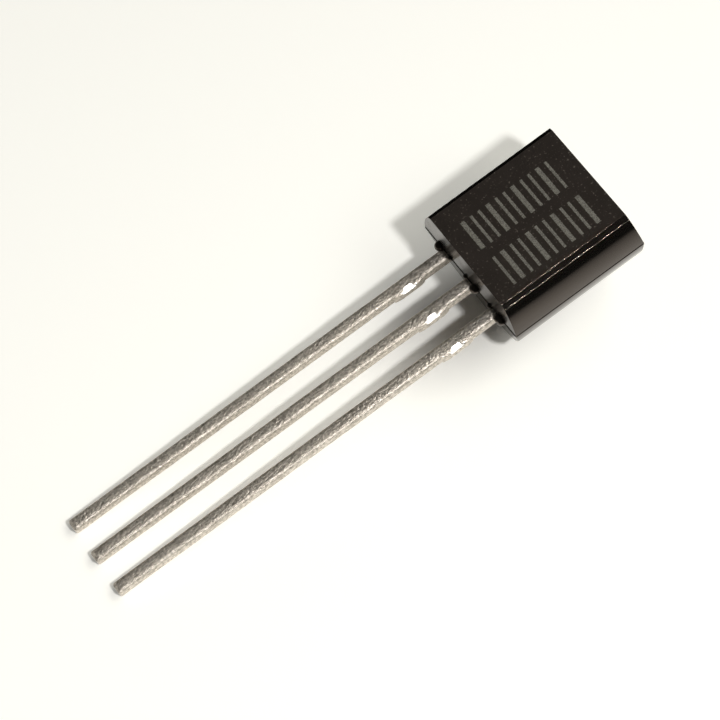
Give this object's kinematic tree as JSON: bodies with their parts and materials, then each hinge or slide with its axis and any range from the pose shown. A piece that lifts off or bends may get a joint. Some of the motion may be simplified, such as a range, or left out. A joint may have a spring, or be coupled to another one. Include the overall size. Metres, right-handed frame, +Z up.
{
  "type": "transistor",
  "caption": "Small TO-92 plastic-cased transistor with a flat front, a rounded back and straight tinned leads, lying flat side up; its chip, bond wires and leadframe are sealed inside",
  "frame": {"origin": "the middle of the bounding box in plan, on the surface that the part lies on", "axes": "+X runs along the leads from their tips to the body, +Z is up, and the flat front faces up and slightly towards the tips; the base lead is on the -Y side"},
  "size_m": [0.0187, 0.0048, 0.004],
  "materials": {
    "moulded_body": "black epoxy moulding compound, satin flat front and glossy drafted sides",
    "emitter_lead": "dull tin plate, slightly mottled",
    "collector_lead": "dull tin plate, slightly mottled",
    "base_lead": "dull tin plate, slightly mottled",
    "silicon_die": "polished silicon",
    "die_bond": "solder",
    "emitter_wire": "drawn gold wire",
    "base_wire": "drawn gold wire"
  },
  "bodies": {
    "root": {"moulded_body": "moulded_body", "emitter_lead": "emitter_lead", "collector_lead": "collector_lead", "base_lead": "base_lead", "silicon_die": "silicon_die", "die_bond": "die_bond", "emitter_wire": "emitter_wire", "base_wire": "base_wire"}
  },
  "joints": []
}
